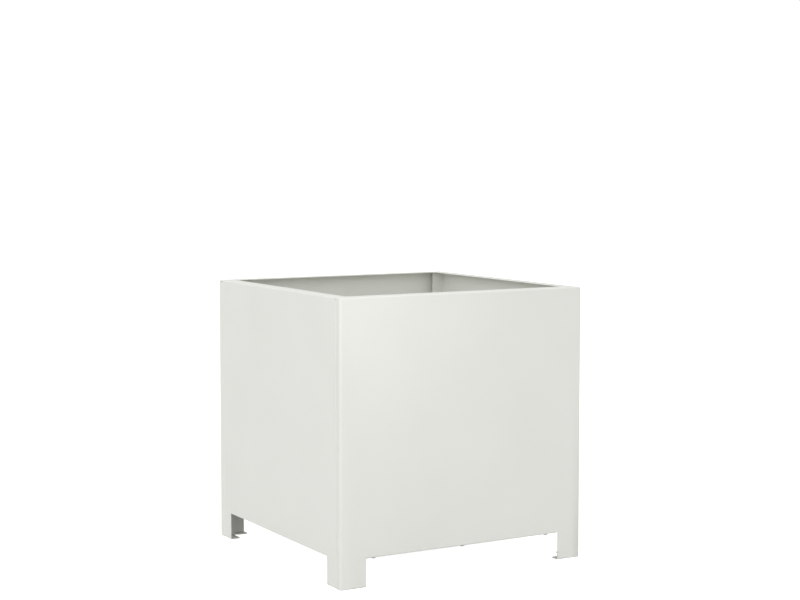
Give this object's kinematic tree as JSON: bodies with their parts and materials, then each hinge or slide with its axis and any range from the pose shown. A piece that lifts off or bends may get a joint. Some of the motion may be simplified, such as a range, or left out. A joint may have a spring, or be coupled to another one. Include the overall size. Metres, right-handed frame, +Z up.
{
  "type": "square planter",
  "caption": "Square floor planter of folded, powder-coated sheet steel on angle legs, with a turned-in rim and a bolted bottom plate with drain holes.",
  "frame": {"origin": "on the floor, under the middle of the body", "axes": "+Z up, +X to the right along the front panel, +Y from the front panel to the back panel"},
  "size_m": [0.4, 0.4, 0.4],
  "materials": {
    "powder_coat": "off-white powder coat, satin, with a fine orange-peel surface",
    "zinc_plate": "bright zinc plate"
  },
  "bodies": {
    "root": {"front_panel": "powder_coat", "back_panel": "powder_coat", "left_panel": "powder_coat", "right_panel": "powder_coat", "bottom_plate": "powder_coat", "front_left_corner_bolts": "zinc_plate", "front_right_corner_bolts": "zinc_plate", "back_left_corner_bolts": "zinc_plate", "back_right_corner_bolts": "zinc_plate", "front_left_corner_nuts": "zinc_plate", "front_right_corner_nuts": "zinc_plate", "back_left_corner_nuts": "zinc_plate", "back_right_corner_nuts": "zinc_plate", "front_base_bolts": "zinc_plate", "back_base_bolts": "zinc_plate", "left_base_bolts": "zinc_plate", "right_base_bolts": "zinc_plate", "front_base_nuts": "zinc_plate", "back_base_nuts": "zinc_plate", "left_base_nuts": "zinc_plate", "right_base_nuts": "zinc_plate"}
  },
  "joints": []
}
